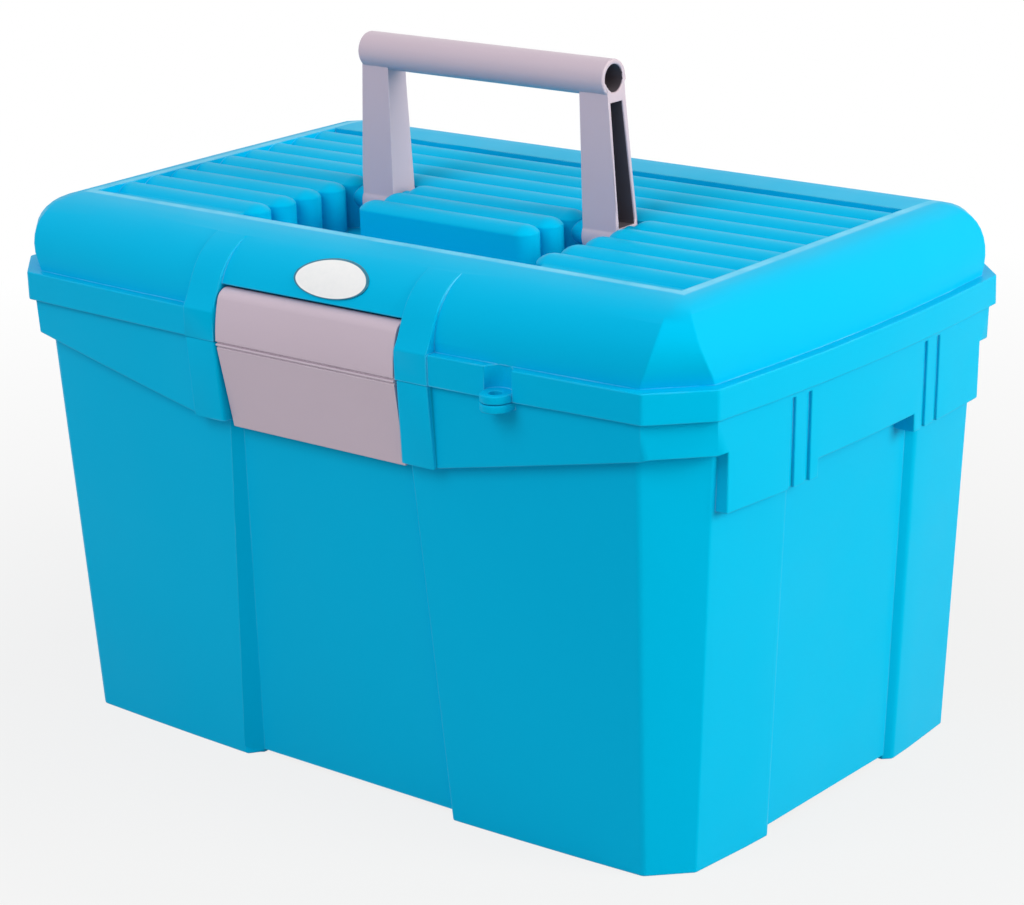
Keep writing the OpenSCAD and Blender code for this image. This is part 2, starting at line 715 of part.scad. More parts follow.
// Rolled cover and flap of the latch, tapered in width, with a barrel, side returns and a hook
module latch() {
    return_face = channel_face + swing_gap;
    hook_z = catch_z - rest_gap;
    hook_low_z = hook_z - 2 * catch_h;
    hook_face = channel_face + catch_d - hook_reach;
    color(grey) difference() {
        union() {
            intersection() {
                union() {
                    front_bar(-latch, latch, concat(latch_face(0), reversed(latch_face(latch_t))));
                    for (side = [-1, 1]) translate([side * (latch - latch_t / 2), 0, 0])
                        front_bar(-latch_t / 2, latch_t / 2, concat(latch_face(0),
                            [[return_face, collar_mid_z + swing_gap], [return_face, latch_pivot_z]]));
                    front_bar(-catch_half, catch_half, [[hook_face, hook_z],
                        [flap_face(hook_z) - latch_t / 2, hook_z],
                        [flap_face(hook_low_z) - latch_t / 2, hook_low_z],
                        [hook_face, hook_z - catch_h / 2]]);
                }
                front_plate(-half_w - over, 0, [[latch_lean - latch, latch_low_z],
                    [latch - latch_lean, latch_low_z], [latch, rim_z], [latch, lid_pocket_z],
                    [-latch, lid_pocket_z], [-latch, rim_z]]);
            }
            rod_x(-latch, latch, latch_pivot_y, latch_pivot_z, 2 * barrel_r);
        }
        rod_x(-latch - over, latch + over, latch_pivot_y, latch_pivot_z, rod_d + running_fit);
    }
}

module latch_rod() {
    color(steel) rod_x(-latch_rod_half, latch_rod_half, latch_pivot_y, latch_pivot_z, rod_d);
}

// Side view of a leg, with its front, back and top drawn in by the inset
module leg_side(inset) {
    top = handle_pivot_z + handle_h;
    low = handle_pivot_z + (inset > 0 ? handle_pin / 2 + inset : 0);
    polygon([[inset - leg_front, low], [leg_back - inset, low],
             [leg_back_top - inset, top - grip_r - inset], [inset - leg_front, top - grip_r - inset]]);
}

// Carry handle: a tubular grip on two flared legs that are cored from their outer sides
module handle() {
    top = handle_pivot_z + handle_h;
    low = handle_pivot_z - leg_back;
    foot_out = leg_out + leg_flare;
    color(grey) difference() {
        union() {
            rod_x(-grip_half, grip_half, -grip_lean, top, 2 * grip_r);
            for (side = [0, 1]) mirror([side, 0, 0]) intersection() {
                translate([leg_in, 0, 0]) rotate([90, 0, 90]) linear_extrude(leg_w + leg_flare) {
                    leg_side(0);
                    translate([0, handle_pivot_z]) circle(r = leg_back);
                    translate([-leg_front, top - grip_r - over]) square([leg_front + leg_back_top, grip_r]);
                }
                front_plate(-half_w, half_w, [[leg_in, low], [foot_out, low],
                    [foot_out, handle_pivot_z + leg_back], [leg_out, top], [leg_in, top]]);
            }
        }
        for (side = [0, 1]) mirror([side, 0, 0]) {
            translate([leg_in + leg_skin, 0, 0]) rotate([90, 0, 90]) linear_extrude(leg_w + leg_flare)
                leg_side(leg_skin);
            rod_x(grip_half - grip_bore_d, grip_half + over, -grip_lean, top, 2 * grip_bore_r);
            rod_x(leg_in - over, foot_out + over, 0, handle_pivot_z, handle_pin + running_fit);
        }
    }
}

module handle_pin_right() {
    color(steel) rod_x(handle_pin_in, handle_pin_out, 0, handle_pivot_z, handle_pin);
}

module handle_pin_left() {
    mirror([1, 0, 0]) handle_pin_right();
}

module hinge_rod_right() {
    color(steel) rod_x(hinge_x - hinge_l / 2, hinge_x + hinge_l / 2, hinge_y, hinge_z, rod_d);
}

module hinge_rod_left() {
    mirror([1, 0, 0]) hinge_rod_right();
}

// Lift-out tray, hung by its rim on the ledges at both ends of the bin
module tray() {
    low = tray_z + tray_rim_t - tray_d;
    top = tray_z + tray_rim_t;
    section = function (inset)
        plan(tray_body_half_l - inset, tray_half_w - inset, end_bow, tray_bow, corner - end_bow);
    color(grey) difference() {
        union() {
            translate([0, 0, tray_z]) linear_extrude(tray_rim_t)
                polygon(plan(tray_half_l, tray_half_w, end_bow, tray_bow, corner));
            loft([[low, section(tray_draft)], [top, section(0)]]);
        }
        difference() {
            loft([[low + tray_wall, section(tray_draft + tray_wall)], [top + over, section(tray_wall)]]);
            for (side = [-1, 1]) translate([side * tray_divider_x - tray_wall / 2, -half_w, low])
                cube([tray_wall, box_w, tray_d - 2 * tray_rim_t]);
        }
    }
}

// Bare oval badge that follows the lid's roll above the latch
module badge() {
    steps = 48;
    mid_z = lid_pocket_z + wall + badge_h / 2;
    color("white") intersection() {
        difference() {
            dome(badge_t);
            dome(0);
        }
        front_plate(-half_w, -crown_half_w, [for (i = [0:steps - 1])
            [badge_x + badge_l / 2 * cos(360 * i / steps), mid_z + badge_h / 2 * sin(360 * i / steps)]]);
    }
}

bin();
lid();
latch();
latch_rod();
handle();
handle_pin_left();
handle_pin_right();
hinge_rod_left();
hinge_rod_right();
tray();
badge();
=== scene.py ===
# %% [markdown]
# A horse grooming box in moulded plastic: a sky blue bin and lid, with a lavender grey
# latch, carry handle and lift-out tray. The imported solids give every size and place.
# This lesson dresses them: it rounds the moulded edges, gives each plastic its finish,
# and sets the box on a pale floor in soft light.

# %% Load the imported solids
import json
import math

import bmesh
import bpy
from mathutils import Matrix, Vector
from mathutils.bvhtree import BVHTree
from mathutils.geometry import intersect_point_line
from mathutils.kdtree import KDTree

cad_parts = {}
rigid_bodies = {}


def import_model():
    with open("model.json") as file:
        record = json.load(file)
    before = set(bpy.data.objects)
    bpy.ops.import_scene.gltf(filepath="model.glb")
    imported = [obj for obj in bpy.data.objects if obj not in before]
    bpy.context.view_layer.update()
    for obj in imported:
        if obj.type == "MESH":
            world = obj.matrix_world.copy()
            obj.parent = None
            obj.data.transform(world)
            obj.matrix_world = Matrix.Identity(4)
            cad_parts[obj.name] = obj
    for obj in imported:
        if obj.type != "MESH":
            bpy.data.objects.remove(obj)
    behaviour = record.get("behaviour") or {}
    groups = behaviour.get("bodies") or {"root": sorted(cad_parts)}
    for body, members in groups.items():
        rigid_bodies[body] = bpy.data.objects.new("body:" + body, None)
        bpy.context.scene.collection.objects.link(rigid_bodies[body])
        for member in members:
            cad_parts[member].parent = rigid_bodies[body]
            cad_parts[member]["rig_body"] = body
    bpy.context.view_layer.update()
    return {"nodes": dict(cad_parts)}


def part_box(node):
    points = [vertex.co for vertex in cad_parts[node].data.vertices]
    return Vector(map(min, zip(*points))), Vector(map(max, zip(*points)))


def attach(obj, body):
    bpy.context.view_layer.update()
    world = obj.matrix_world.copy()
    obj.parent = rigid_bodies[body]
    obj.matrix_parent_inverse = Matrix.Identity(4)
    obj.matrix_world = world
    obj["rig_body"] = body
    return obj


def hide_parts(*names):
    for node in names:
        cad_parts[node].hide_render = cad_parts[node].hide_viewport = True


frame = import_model()
millimetre = 0.001
scene = bpy.context.scene
scene.view_settings.view_transform = "Standard"

# %% [markdown]
# The camera stands to the right of the latch, a little above the lid, with a long lens, so
# the upright corners hardly lean together. A camera can be aimed at a target, but a target
# says nothing of a tilted horizon. Here the three turns of the camera are given by name,
# and its axes follow from them.

# %% Camera
turn_right = math.radians(39.93)
look_down = math.radians(17.92)
tilt = math.radians(-1.89)
camera_place = Vector((0.8348, -0.9918, 0.5431))
lens_length = 105
sensor_width = 36

back = Vector((math.sin(turn_right) * math.cos(look_down),
               -math.cos(turn_right) * math.cos(look_down),
               math.sin(look_down)))
level_right = Vector((math.cos(turn_right), math.sin(turn_right), 0))
level_up = back.cross(level_right)
camera_right = math.cos(tilt) * level_right + math.sin(tilt) * level_up
camera_up = math.cos(tilt) * level_up - math.sin(tilt) * level_right

camera_data = bpy.data.cameras.new("camera")
camera_data.sensor_fit = "HORIZONTAL"
camera_data.sensor_width = sensor_width
camera_data.lens = lens_length
camera = bpy.data.objects.new("camera", camera_data)
camera_axes = Matrix((camera_right, camera_up, back)).transposed()
camera.matrix_world = Matrix.Translation(camera_place) @ camera_axes.to_4x4()
scene.collection.objects.link(camera)
scene.camera = camera
print("camera at", tuple(camera_place), "with a lens of", lens_length, "mm")

# %% [markdown]
# A material is a small graph of nodes. A few helpers keep the graphs short to write: one
# adds a node with its values set on its own sockets, one starts a material, and the others
# are the steps that come back in every graph, such as a noise or a blend of two colours.
# Each graph could spell out its own nodes, but then the few values that matter get lost.

# %% Node helpers
def add_node(tree, kind, inputs=None, **settings):
    node = tree.nodes.new(kind)
    for key, value in settings.items():
        setattr(node, key, value)
    for key, value in (inputs or {}).items():
        if isinstance(value, bpy.types.NodeSocket):
            tree.links.new(value, node.inputs[key])
        else:
            node.inputs[key].default_value = value
    return node


def start_material(name):
    material = bpy.data.materials.new(name)
    material.use_nodes = True
    tree = material.node_tree
    tree.nodes.clear()
    output = add_node(tree, "ShaderNodeOutputMaterial")
    return material, tree, output


def place_on_piece(tree):
    return add_node(tree, "ShaderNodeTexCoord").outputs["Object"]


def axes_of(tree, place):
    return add_node(tree, "ShaderNodeSeparateXYZ", {"Vector": place}).outputs


def noise(tree, place, scale, detail):
    inputs = {"Vector": place, "Scale": scale, "Detail": detail}
    return add_node(tree, "ShaderNodeTexNoise", inputs).outputs["Fac"]


def blend(tree, share, first, second):
    inputs = {"Factor": share, "A": first, "B": second}
    return add_node(tree, "ShaderNodeMix", inputs, data_type="RGBA").outputs["Result"]


def maths(tree, operation, first, second=0.0):
    return add_node(tree, "ShaderNodeMath", {0: first, 1: second}, operation=operation).outputs[0]


def rescale(tree, value, start, end, to_start, to_end):
    """Straight ramp from one span of values to another."""
    inputs = {"Value": value, "From Min": start, "From Max": end, "To Min": to_start, "To Max": to_end}
    return add_node(tree, "ShaderNodeMapRange", inputs).outputs[0]


def soft_step(tree, value, start, end):
    """Soft step from 0 at the start to 1 at the end."""
    inputs = {"Value": value, "From Min": start, "From Max": end}
    return add_node(tree, "ShaderNodeMapRange", inputs, interpolation_type="SMOOTHSTEP").outputs[0]


def rough_skin(tree, height, strength, depth):
    inputs = {"Height": height, "Strength": strength, "Distance": depth}
    return add_node(tree, "ShaderNodeBump", inputs).outputs[0]


def looking_rays(tree):
    """1 for a ray that looks at the studio from the camera, or by way of a shine or a glass."""
    rays = add_node(tree, "ShaderNodeLightPath").outputs
    share = rays["Is Camera Ray"]
    for kind in ("Is Glossy Ray", "Is Transmission Ray"):
        share = maths(tree, "MAXIMUM", share, rays[kind])
    return share


white = (1, 1, 1, 1)
print("node helpers ready")

# %% [markdown]
# The studio is white all round, and its light is nearly even: a touch stronger overhead
# than at the horizon. The camera and the shine of the pieces see it as plain white. An
# image of a studio would light the box too, but a ramp from the horizon to the zenith needs
# no file.

# %% World
low_level = 0.58
high_level = 0.6
world = bpy.data.worlds.new("studio")
world.use_nodes = True
scene.world = world
sky = world.node_tree
sky.nodes.clear()
direction = add_node(sky, "ShaderNodeTexCoord").outputs["Generated"]
level = rescale(sky, axes_of(sky, direction)["Z"], 0, 1, low_level, high_level)
fill = add_node(sky, "ShaderNodeBackground", {"Color": white, "Strength": level})
plain = add_node(sky, "ShaderNodeBackground", {"Color": white, "Strength": 1})
choice = add_node(sky, "ShaderNodeMixShader", {0: looking_rays(sky), 1: fill.outputs[0], 2: plain.outputs[0]})
add_node(sky, "ShaderNodeOutputWorld", {"Surface": choice.outputs[0]})
print("world from", low_level, "at the horizon to", high_level, "overhead")

# %% [markdown]
# The box stands on a plain pale floor, which keeps its shadow. Further out the floor fades
# into the white of the world, so no horizon shows. A curved backdrop would do the same in
# one view, but a flat floor that fades with distance works all round the box.

# %% Floor
floor_half = 6
fade_start = 0.25
fade_end = 0.9
glow_near = 0.82
floor_mesh = bpy.data.meshes.new("floor")
floor_mesh.from_pydata([(-floor_half, -floor_half, 0), (floor_half, -floor_half, 0),
                        (floor_half, floor_half, 0), (-floor_half, floor_half, 0)], [], [(0, 1, 2, 3)])
floor = bpy.data.objects.new("floor", floor_mesh)
scene.collection.objects.link(floor)

floor_material, tree, output = start_material("pale_floor")
distance = add_node(tree, "ShaderNodeVectorMath", {0: place_on_piece(tree)}, operation="LENGTH")
fade = rescale(tree, distance.outputs["Value"], fade_start, fade_end, glow_near, 1)
glow_share = maths(tree, "MULTIPLY", fade, looking_rays(tree))
matt = add_node(tree, "ShaderNodeBsdfDiffuse", {"Color": (0.42, 0.42, 0.42, 1)})
glow = add_node(tree, "ShaderNodeEmission", {"Color": white, "Strength": 1})
surface = add_node(tree, "ShaderNodeMixShader", {0: glow_share, 1: matt.outputs[0], 2: glow.outputs[0]})
tree.links.new(surface.outputs[0], output.inputs["Surface"])
floor_mesh.materials.append(floor_material)
print("floor", 2 * floor_half, "m across")

# %% [markdown]
# The right end of the box is its brightest face, the top comes next, and the steps on the
# front that face right are in shade. So the main lamp hangs on the right and a little
# behind, and a second one high in front fills the rolled front of the lid. Point lamps
# would draw hard shadows. Both lamps are wide discs, which gives soft ones, and the main
# one is a touch warm.

# %% Lamps
box_middle = Vector((0, 0, 0.12))


def hang_lamp(name, place, across, power, colour):
    lamp_data = bpy.data.lights.new(name, "AREA")
    lamp_data.shape = "DISK"
    lamp_data.size = across
    lamp_data.energy = power
    lamp_data.color = colour
    lamp = bpy.data.objects.new(name, lamp_data)
    lamp.location = place
    lamp.rotation_euler = (box_middle - Vector(place)).to_track_quat("-Z", "Y").to_euler()
    scene.collection.objects.link(lamp)
    print(name, "at", place, "with", power, "W")


hang_lamp("main_lamp", place=(1.85, 0.35, 0.9), across=1.1, power=33, colour=(1, 0.98, 0.84))
hang_lamp("front_lamp", place=(-0.3, -1.7, 1.6), across=1.4, power=18, colour=(1, 1, 1))

# %% [markdown]
# The blue is a satin polypropylene. A real moulding is never one flat colour: the tint drifts a little over
# the wall, the skin has a fine grain, and the gloss changes from place to place. Its edges are paler in
# patches. That is partly real wear where they rub on stable floors, and partly a painted highlight, the
# bright line that light draws along a rounded edge. The same graph, with other values, gives the grey plastic
# and the dark one that is painted shade in the hollows, so it is a function. A picture could be painted for
# it, but nodes stay sharp at every distance and need no unwrapping. An edge is found by how far the normal
# turns within a short radius.

# %% Moulded plastic
drift_scale = 9
wear_and_sheen_scale = 60
gloss_scale = 26
grain_scale = 1600
grain_strength = 0.12
grain_depth = 0.1 * millimetre
# Width and limits of the pale edges, which are partly wear and partly painted highlight.
wear_and_highlight_width = 0.9 * millimetre
wear_and_highlight_starts = 0.97
wear_and_highlight_full = 0.75
noise_low = 0.3
noise_high = 0.7


def moulded_plastic(name, tint, drift, wear_and_highlight_colour, most_wear_and_highlight, shine, shine_level, gloss_low, gloss_high,
                    rim_highlight_place=None):
    material, tree, output = start_material(name)
    place = place_on_piece(tree)
    colour = blend(tree, noise(tree, place, drift_scale, 3), tint, drift)

    # The pale edges are partly real wear and partly a painted highlight, the bright line that light draws
    # along a rounded edge.
    soft_edge = add_node(tree, "ShaderNodeBevel", {"Radius": wear_and_highlight_width}, samples=4).outputs[0]
    flat = add_node(tree, "ShaderNodeNewGeometry").outputs["Normal"]
    turn = add_node(tree, "ShaderNodeVectorMath", {0: soft_edge, 1: flat}, operation="DOT_PRODUCT")
    edge = rescale(tree, turn.outputs["Value"], wear_and_highlight_starts, wear_and_highlight_full, 0, 1)
    wear_and_sheen_patches = noise(tree, place, wear_and_sheen_scale, 4)
    patchy = rescale(tree, wear_and_sheen_patches, noise_low, noise_high, 0, most_wear_and_highlight)
    colour = blend(tree, maths(tree, "MULTIPLY", edge, patchy), colour, wear_and_highlight_colour)
    # A painted highlight on the lid's rim, in the same pale colour as the edges.
    if rim_highlight_place:
        painted_highlight = maths(tree, "MULTIPLY", rim_highlight_place(tree, place), wear_and_sheen_patches)
        colour = blend(tree, painted_highlight, colour, wear_and_highlight_colour)

    gloss = rescale(tree, noise(tree, place, gloss_scale, 2), noise_low, noise_high, gloss_low, gloss_high)
    grain = noise(tree, place, grain_scale, 2)
    skin = add_node(tree, "ShaderNodeBsdfPrincipled", {
        "Base Color": colour, "Roughness": gloss, "Specular IOR Level": shine_level, "Specular Tint": shine,
        "Normal": rough_skin(tree, grain, grain_strength, grain_depth)})
    tree.links.new(skin.outputs[0], output.inputs["Surface"])
    return material


def blue(name, rim_highlight_place=None):
    return moulded_plastic(
        name, tint=(0.0, 0.43, 0.73, 1), drift=(0.0, 0.46, 0.77, 1), wear_and_highlight_colour=(0.25, 0.68, 0.9, 1), most_wear_and_highlight=0.7,
        shine=(0.0, 0.75, 1, 1), shine_level=0.1, gloss_low=0.4, gloss_high=0.48, rim_highlight_place=rim_highlight_place)


blue_plastic = blue("blue_plastic")
grey_plastic = moulded_plastic(
    "grey_plastic", tint=(0.53, 0.435, 0.515, 1), drift=(0.58, 0.475, 0.565, 1), wear_and_highlight_colour=(0.82, 0.77, 0.83, 1),
    most_wear_and_highlight=0.95, shine=white, shine_level=0.35, gloss_low=0.3, gloss_high=0.4)
# The dark plastic is painted shade for the deep hollows of the handle.
hollow_shade_plastic = moulded_plastic(
    "hollow_shade_plastic", tint=(0.12, 0.1, 0.12, 1), drift=(0.14, 0.12, 0.145, 1), wear_and_highlight_colour=(0.2, 0.18, 0.2, 1),
    most_wear_and_highlight=0.3, shine=white, shine_level=0.3, gloss_low=0.5, gloss_high=0.6)
print("plastics", blue_plastic.name, grey_plastic.name, hollow_shade_plastic.name)

# %% [markdown]
# The flat rim round the ribbed field of the lid stands highest. It is drawn paler in patches, as a painted
# highlight of the light that the narrow flat catches at a grazing angle. The rim is where a point lies
# between two rectangles, the edge of the field and the edge of the flat. The larger of its distances past the
# field's edges tells that. A painted mask would need an unwrapped lid, and this one follows from a few sizes.

# %% Painted highlight on the rim of the lid
lid_high_z = 243.3 * millimetre
field_half = 165 * millimetre
field_front = 85.5 * millimetre
rim_width = 4.5 * millimetre
rim_blur = 0.2 * rim_width


def on_the_rim(tree, place):
    axes = axes_of(tree, place)
    past_end = maths(tree, "SUBTRACT", maths(tree, "ABSOLUTE", axes["X"]), field_half)
    past_front = maths(tree, "SUBTRACT", maths(tree, "MULTIPLY", axes["Y"], -1), field_front)
    past = maths(tree, "MAXIMUM", past_end, past_front)
    inner = soft_step(tree, past, 0, rim_blur)
    outer = soft_step(tree, past, rim_width + rim_blur, rim_width - rim_blur)
    high = soft_step(tree, axes["Z"], lid_high_z - 1 * millimetre, lid_high_z - 0.5 * millimetre)
    return maths(tree, "MULTIPLY", maths(tree, "MULTIPLY", inner, outer), high)


# The lid's blue carries the painted highlight on its rim.
lid_plastic = blue("lid_plastic", on_the_rim)
print("rubbed rim", rim_width / millimetre, "mm wide on", lid_plastic.name)

# %% [markdown]
# The rods and pins are plain drawn wire. Drawing leaves fine lines along the wire, which
# spread its shine across. A shader with a grain of its own would spread the shine as well,
# but it shows no lines close up. Stretching the noise along X makes such lines.

# %% Steel
line_stretch = (20, 1500, 1500)
line_depth = 0.05 * millimetre
steel, tree, output = start_material("steel")
stretched = add_node(tree, "ShaderNodeMapping", {"Vector": place_on_piece(tree), "Scale": line_stretch})
lines = noise(tree, stretched.outputs[0], 1, 3)
wire = add_node(tree, "ShaderNodeBsdfPrincipled", {
    "Base Color": (0.55, 0.56, 0.58, 1), "Metallic": 1, "Roughness": rescale(tree, lines, 0, 1, 0.2, 0.45),
    "Normal": rough_skin(tree, lines, 0.15, line_depth)})
tree.links.new(wire.outputs[0], output.inputs["Surface"])
print("steel with lines", line_depth / millimetre, "mm deep")

# %% [markdown]
# The badge is a bare white sheet: smooth, with a faint orange-peel ripple from the varnish and a thin dark
# line round its edge. The line could be a ring of its own, but here it is only colour on the sheet. It is
# where a point is nearly as far from the middle as the oval reaches, so one distance in squeezed axes draws
# it.

# %% Badge sheet
line_start = 0.93
line_full = 0.95
ripple_depth = 0.1 * millimetre
badge_low, badge_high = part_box("badge")
badge_middle = (badge_low + badge_high) / 2
badge_half = (badge_high - badge_low) / 2

badge_white, tree, output = start_material("badge_white")
place = place_on_piece(tree)
ripple = noise(tree, place, 420, 1)
axes = axes_of(tree, place)
across = maths(tree, "DIVIDE", maths(tree, "SUBTRACT", axes["X"], badge_middle.x), badge_half.x)
upward = maths(tree, "DIVIDE", maths(tree, "SUBTRACT", axes["Z"], badge_middle.z), badge_half.z)
squares = [maths(tree, "MULTIPLY", share, share) for share in (across, upward)]
reach = maths(tree, "SQRT", maths(tree, "ADD", squares[0], squares[1]))
paper = blend(tree, ripple, (0.8, 0.81, 0.83, 1), (0.86, 0.86, 0.87, 1))
sheet_with_dark_edge = blend(tree, soft_step(tree, reach, line_start, line_full), paper, (0.0, 0.16, 0.26, 1))
sheet = add_node(tree, "ShaderNodeBsdfPrincipled", {
    "Base Color": sheet_with_dark_edge, "Roughness": 0.3, "Normal": rough_skin(tree, ripple, 0.1, ripple_depth)})
tree.links.new(sheet.outputs[0], output.inputs["Surface"])
print("badge sheet", round(2 * badge_half.x / millimetre, 1), "mm across")

# %% [markdown]
# A mould can't make a knife edge: each outer edge of a real moulding has a small radius, and
# the light that runs along it is what makes it look like plastic. The solids have sharp
# edges, so each piece is a copy with its triangles joined into flat faces and its outer
# edges rounded. A bevel by angle would give one radius all over. Bevel weights let the long
# upright edges have a larger one, and edges with little room beside them a smaller one.

# %% Edges that a mould would round
sharp_turn = math.radians(28)
warp_turn = math.radians(4)
slant = math.cos(math.radians(25))
upright_rise = 0.8
upright_length = 12 * millimetre
room_share = 0.4
least_radius = 0.06 * millimetre
far_away = 1.0


def is_sharp(edge):
    return edge.is_manifold and edge.calc_face_angle(0) > sharp_turn


def direction_from(corner, edge):
    return (edge.other_vert(corner).co - corner.co).normalized()


def room_beside(edge):
    """Distance from an edge to the nearest corner of its two faces that its own line doesn't run on to."""
    start, end = (corner.co for corner in edge.verts)
    length = (end - start).length
    along = (end - start) / length
    nearest = far_away
    for face in edge.link_faces:
        for corner in face.verts:
            if corner in edge.verts:
                continue
            step = (corner.co - start).dot(along)
            away = corner.co - (start if step < 0 else end if step > length else start + step * along)
            runs_on = abs(away.dot(along)) > slant * away.length
            if not runs_on:
                nearest = min(nearest, away.length)
    return nearest


def slants_off_a_sharp_edge(edge):
    """True for a nearly flat edge that leaves a sharp one at a narrow angle, where a bevel would stretch."""
    if is_sharp(edge) or edge.calc_face_angle(0) > warp_turn:
        return False
    for corner in edge.verts:
        out = direction_from(corner, edge)
        for other in corner.link_edges:
            if other != edge and is_sharp(other) and direction_from(corner, other).dot(out) > slant:
                return True
    return False


def weigh_edges(work, radius, upright_radius):
    """Gives each outer edge its share of the upright radius. The other sharp edges stay crisp."""
    weights = work.edges.layers.float.new("bevel_weight_edge")
    for edge in work.edges:
        if not is_sharp(edge):
            continue
        edge.smooth = False
        if not edge.is_convex:
            continue
        run = edge.verts[1].co - edge.verts[0].co
        upright = abs(run.z) > upright_rise * run.length and run.length > upright_length
        wanted = min(upright_radius if upright else radius, room_share * room_beside(edge))
        if wanted > least_radius:
            edge[weights] = wanted / upright_radius
            edge.smooth = True
    return weights


print("edges turn sharp at", round(math.degrees(sharp_turn)), "degrees")

# %% [markdown]
# Where many small faces meet, a bevel can fold over or fly off. Such spots could be found by
# eye and left out one by one, but a rule is safer: each rounded copy is held against its
# solid, the edges near a bad spot go back to crisp ones, and the bevel is made again.

# %% Bevels that are held against the solid
bevel_segments = 2
proud_limit = 0.05 * millimetre
deep_slack = 0.1 * millimetre
least_area = 0.001 * millimetre ** 2
clear_reach = 0.8 * millimetre


def bevelled(work, upright_radius):
    """Triangles of the mesh with its weighted edges rounded."""
    mesh = bpy.data.meshes.new("bevelled")
    work.to_mesh(mesh)
    holder = bpy.data.objects.new("bevelled", mesh)
    scene.collection.objects.link(holder)
    bevel = holder.modifiers.new("rounded_edges", "BEVEL")
    bevel.limit_method = "WEIGHT"
    bevel.width = upright_radius
    bevel.segments = bevel_segments
    bevel.use_clamp_overlap = False
    bevel.loop_slide = False
    holder.modifiers.new("triangles", "TRIANGULATE")
    solved = holder.evaluated_get(bpy.context.evaluated_depsgraph_get())
    rounded = bpy.data.meshes.new_from_object(solved)
    bpy.data.objects.remove(holder)
    bpy.data.meshes.remove(mesh)
    return rounded


def bad_spots(mesh, skin, upright_radius):
    """Places where a rounded copy folds over or leaves its solid, and the corners of the faces there."""
    deep_limit = upright_radius / 2 + deep_slack
    spots, ends = [], []
    for corner in mesh.vertices:
        nearest, outward, _, distance = skin.find_nearest(corner.co)
        if distance > deep_limit or (corner.co - nearest).dot(outward) > proud_limit:
            spots.append(corner.co.copy())
    for face in mesh.polygons:
        if face.area < least_area:
            continue
        _, outward, _, distance = skin.find_nearest(face.center)
        if distance > deep_limit or face.normal.dot(outward) < 0:
            spots.append(face.center.copy())
            ends.extend(mesh.vertices[number].co.copy() for number in face.vertices)
    return spots, ends


def leave_crisp(work, weights, spots):
    """Takes the weight off the edges that pass near a bad spot and says how many there were."""
    near = KDTree(len(spots))
    for number, spot in enumerate(spots):
        near.insert(spot, number)
    near.balance()
    cleared = 0
    for edge in work.edges:
        if not edge[weights]:
            continue
        start, end = (corner.co for corner in edge.verts)
        middle = (start + end) / 2
        for spot, _, _ in near.find_range(middle, (end - start).length / 2 + clear_reach):
            on_line, share = intersect_point_line(spot, start, end)
            nearest = start if share < 0 else end if share > 1 else on_line
            if (spot - nearest).length < clear_reach:
                edge[weights] = 0
                edge.smooth = False
                cleared += 1
                break
    return cleared


print("a bevel may stand proud by", proud_limit / millimetre, "mm")

# %% [markdown]
# Each visible moulding is such a rounded copy, and it moves with its solid's body. The
# solid's triangles are first joined where they are flat, so that a bevel meets whole faces
# and not slivers. A remesh would round everything at once, but it would also blur the
# grooves and the thin gap at the parting line.

# %% Rounded copies of the solids
weld_distance = 0.001 * millimetre
sliver_length = 0.01 * millimetre
flat_turn = math.radians(0.4)
tries = 8


def rounded_copy(node, name, material, radius, upright_radius):
    work = bmesh.new()
    work.from_mesh(frame["nodes"][node].data)
    bmesh.ops.remove_doubles(work, verts=work.verts, dist=weld_distance)
    bmesh.ops.dissolve_degenerate(work, edges=work.edges, dist=sliver_length)
    skin = BVHTree.FromBMesh(work)
    bmesh.ops.dissolve_limit(work, angle_limit=flat_turn, verts=work.verts, edges=work.edges)
    slanting = [edge for edge in work.edges if slants_off_a_sharp_edge(edge)]
    bmesh.ops.dissolve_edges(work, edges=slanting, use_verts=False)
    for face in work.faces:
        face.smooth = True
    weights = weigh_edges(work, radius, upright_radius)
    for attempt in range(tries):
        mesh = bevelled(work, upright_radius)
        spots, ends = bad_spots(mesh, skin, upright_radius)
        cleared = leave_crisp(work, weights, spots) or leave_crisp(work, weights, ends)
        print(name, "try", attempt, "bad spots", len(spots), "edges left crisp", cleared)
        if not cleared:
            break
    rounded = sum(1 for edge in work.edges if edge[weights])
    work.free()
    mesh.name = name
    mesh.materials.clear()
    mesh.materials.append(material)
    piece = bpy.data.objects.new(name, mesh)
    scene.collection.objects.link(piece)
    normals = piece.modifiers.new("flat_faces", "WEIGHTED_NORMAL")
    normals.keep_sharp = True
    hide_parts(node)
    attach(piece, frame["nodes"][node]["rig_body"])
    print(name, "has", rounded, "rounded edges and", len(mesh.polygons), "triangles")
    return piece


# %% [markdown]
# The bin has the largest radii, because it is the largest moulding and stands on the floor.
# The latch and the badge have the smallest. The first radius is for most edges and the
# second for long upright ones, in millimetres.

# %% Bin, lid, latch, handle, tray and badge
mouldings = [
    ("bin", "bin_shell", blue_plastic, "blue_plastic", 0.7, 1.8),
    ("lid", "lid_shell", lid_plastic, "blue_plastic", 0.6, 1.2),
    ("latch", "latch_flap", grey_plastic, "grey_plastic", 0.5, 0.6),
    ("handle", "carry_handle", grey_plastic, "grey_plastic", 0.7, 1),
    ("tray", "lift_out_tray", grey_plastic, "grey_plastic", 0.6, 1.5),
    ("badge", "oval_badge", badge_white, "badge_white", 0.2, 0.2),
]
pieces = {}
for node, name, material, slot, radius, upright_radius in mouldings:
    pieces[node] = rounded_copy(node, name, material, radius * millimetre, upright_radius * millimetre)

# %% [markdown]
# At each corner the wall of the bin leans in under the collar, and a moulding has a web
# there that joins the two. The bin's solid has a narrow slit in its place. A web is a wedge
# that is flush with the collar's lower face and slopes down to the wall. Its plan follows
# the chamfer and then the end as far as the deep pad, and is mirrored to all four corners.
# A strip without thickness would close the slit too, but not as a solid.

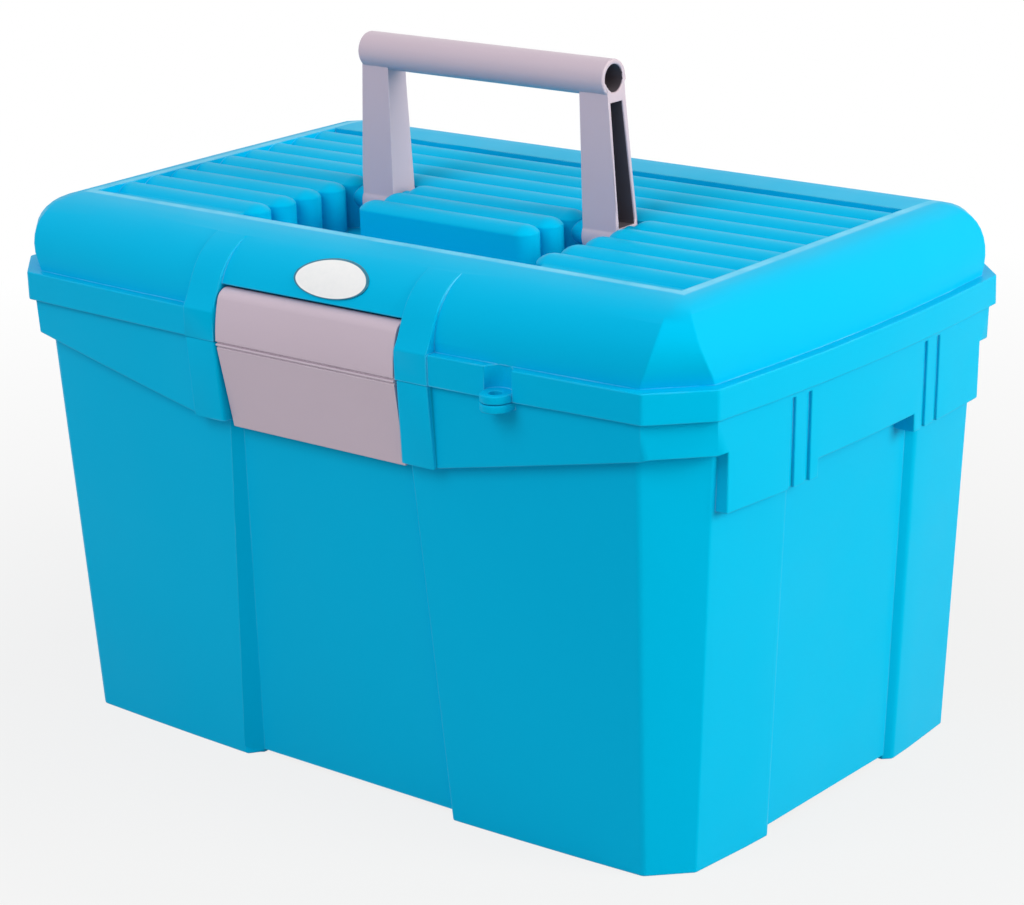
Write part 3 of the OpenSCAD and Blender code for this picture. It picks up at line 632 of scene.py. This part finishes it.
# %% Webs under the collar's corners
at_the_collar = 183.85 * millimetre
at_the_wall = 182.4 * millimetre
web_high_z = 183.95 * millimetre
web_plan = [(169.1, 113.3, at_the_wall), (172.5, 116.6, at_the_collar), (190.9, 98.2, at_the_collar),
            (190.9, 93.5, at_the_collar), (186.1, 93.5, at_the_wall)]

webs = bmesh.new()
for side_x in (-1, 1):
    for side_y in (-1, 1):
        wedge = []
        for x, y, low_z in web_plan:
            for z in (low_z, web_high_z):
                wedge.append(webs.verts.new((side_x * x * millimetre, side_y * y * millimetre, z)))
        bmesh.ops.convex_hull(webs, input=wedge)
bmesh.ops.recalc_face_normals(webs, faces=webs.faces)
web_mesh = bpy.data.meshes.new("corner_webs")
webs.to_mesh(web_mesh)
webs.free()
web_mesh.materials.append(blue_plastic)
web_piece = bpy.data.objects.new("corner_webs", web_mesh)
scene.collection.objects.link(web_piece)
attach(web_piece, frame["nodes"]["bin"]["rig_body"])
print("webs have", len(web_mesh.polygons), "triangles")

# %% [markdown]
# The grip is a tube, and each leg is cored out from its outer side. The walls of both hollows get a dark
# plastic as painted shade, for the deep shadow inside them. The dark could be a piece of its own, but it
# would only repeat the walls of the hollows, so their faces get the dark plastic as a second material. A face
# is in a hollow if its middle is no further out than the wall of that hollow.

# %% Painted shade in the hollows of the handle
grip_axis_y = -2 * millimetre
grip_axis_z = 303.6 * millimetre
grip_bore = 6 * millimetre
grip_half = 69.4 * millimetre
grip_end_rim = 0.5 * millimetre
core_floor_x = 56.6 * millimetre
core_low_z = 239.2 * millimetre
core_high_z = 293.2 * millimetre
core_front_y = -5 * millimetre
core_back_low_y = 6.2 * millimetre
core_back_high_y = 2.8 * millimetre
wall_slack = 0.05 * millimetre
faces_sideways = 0.7


def in_the_bore(spot):
    from_axis = math.hypot(spot.y - grip_axis_y, spot.z - grip_axis_z)
    return from_axis < grip_bore + wall_slack and abs(spot.x) < grip_half - grip_end_rim


def in_a_core(spot, facing):
    if abs(facing.x) > faces_sideways and abs(spot.x) > core_floor_x + wall_slack:
        return False
    rise = (spot.z - core_low_z) / (core_high_z - core_low_z)
    core_back_y = core_back_low_y + rise * (core_back_high_y - core_back_low_y)
    return (abs(spot.x) > core_floor_x - wall_slack
            and core_low_z - wall_slack < spot.z < core_high_z + wall_slack
            and core_front_y - wall_slack < spot.y < core_back_y + wall_slack)


handle_mesh = pieces["handle"].data
handle_mesh.materials.append(hollow_shade_plastic)
shaded_faces = 0
# Faces in the hollows get the dark plastic as painted shade.
for face in handle_mesh.polygons:
    if in_the_bore(face.center) or in_a_core(face.center, face.normal):
        face.material_index = 1
        shaded_faces += 1
print("handle has", shaded_faces, "dark faces of", len(handle_mesh.polygons))

# %% [markdown]
# The rods and pins are seen only where a knuckle ends. Copies with rounded ends could stand
# for them, but nobody would see the ends, so the solids themselves stay and only take the
# steel.

# %% Rods and pins
for name, node in frame["nodes"].items():
    if "rod" in name or "pin" in name:
        node.data.materials.clear()
        node.data.materials.append(steel)
        print("steel on", name)
